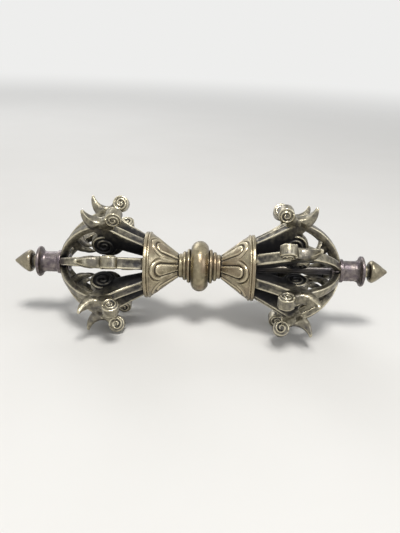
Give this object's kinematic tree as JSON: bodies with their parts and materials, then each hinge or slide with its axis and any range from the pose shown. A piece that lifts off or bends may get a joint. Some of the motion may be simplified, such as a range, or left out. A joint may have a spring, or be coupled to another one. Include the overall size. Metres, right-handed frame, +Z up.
{
  "type": "dorje vajra",
  "caption": "Hand-held ritual sceptre in aged brass: two domed cages of scrolled prongs on a turned hub with lotus cones and pointed tips.",
  "frame": {"origin": "middle of the hub, on the long axis, which is the centre of the bounding box", "axes": "+X along the long axis towards the right end in the picture, +Z up as the part lies on its prongs, -Y towards the viewer"},
  "size_m": [0.15, 0.055, 0.055],
  "materials": {
    "hub_brass": "aged, semi-polished",
    "lotus_brass": "aged, carved, semi-polished",
    "prong_brass": "aged, dark in the recesses",
    "collar_brass": "aged, heat-tinted",
    "tip_brass": "aged, semi-polished",
    "spindle_brass": "dark patina"
  },
  "bodies": {
    "root": {"spindle": "spindle_brass", "center_bulb": "hub_brass", "left_neck_collar": "hub_brass", "left_lotus_cone": "lotus_brass", "left_rim_collar": "lotus_brass", "left_end_collar": "collar_brass", "left_tip_finial": "tip_brass", "right_neck_collar": "hub_brass", "right_lotus_cone": "lotus_brass", "right_rim_collar": "lotus_brass", "right_end_collar": "collar_brass", "right_tip_finial": "tip_brass", "left_prong_1": "prong_brass", "left_prong_2": "prong_brass", "left_prong_3": "prong_brass", "left_prong_4": "prong_brass", "left_prong_5": "prong_brass", "left_prong_6": "prong_brass", "left_prong_7": "prong_brass", "left_prong_8": "prong_brass", "right_prong_1": "prong_brass", "right_prong_2": "prong_brass", "right_prong_3": "prong_brass", "right_prong_4": "prong_brass", "right_prong_5": "prong_brass", "right_prong_6": "prong_brass", "right_prong_7": "prong_brass", "right_prong_8": "prong_brass"}
  },
  "joints": []
}
